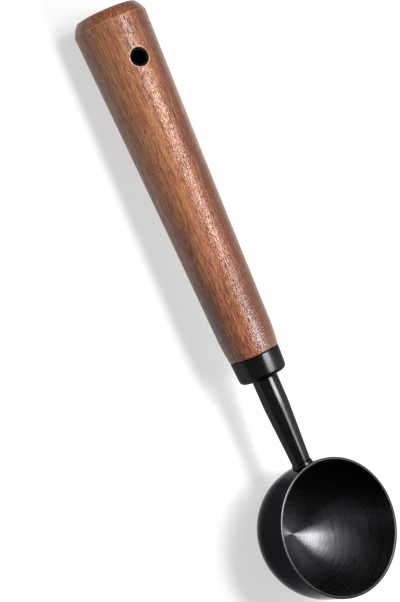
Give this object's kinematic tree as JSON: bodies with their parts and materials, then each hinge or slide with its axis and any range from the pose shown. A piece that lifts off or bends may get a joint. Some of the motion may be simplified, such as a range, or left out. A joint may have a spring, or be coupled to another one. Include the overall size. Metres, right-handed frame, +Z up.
{
  "type": "coffee scoop",
  "caption": "Deep round coffee measure in black-coated steel on a tapered neck, with a ferrule and a turned hardwood handle drilled and sleeved for hanging.",
  "frame": {"origin": "on the table the scoop lies on, under the middle of its overall box; it rests on the underside of the bowl and on the lower edge of the handle's end", "axes": "+X along the scoop, from the bowl towards the end of the handle; +Z up, the way the bowl opens; +Y to the left looking along +X"},
  "size_m": [0.2016, 0.045, 0.0313],
  "materials": {
    "bowl_steel": "black-coated spun steel: glossy outside, finely brushed in circles inside",
    "weld_steel": "black-coated weld metal, satin",
    "neck_steel": "black-coated turned steel, glossy",
    "ferrule_steel": "black-coated drawn steel, satin",
    "bolt_steel": "bright zinc-plated steel",
    "wood": "reddish-brown hardwood with open pores, turned, sanded and oiled",
    "sleeve_steel": "black-coated steel tube"
  },
  "bodies": {
    "root": {"scoop_bowl": "bowl_steel", "neck_weld": "weld_steel", "neck": "neck_steel", "ferrule": "ferrule_steel", "hanger_bolt": "bolt_steel", "handle": "wood", "hole_sleeve": "sleeve_steel"}
  },
  "joints": []
}
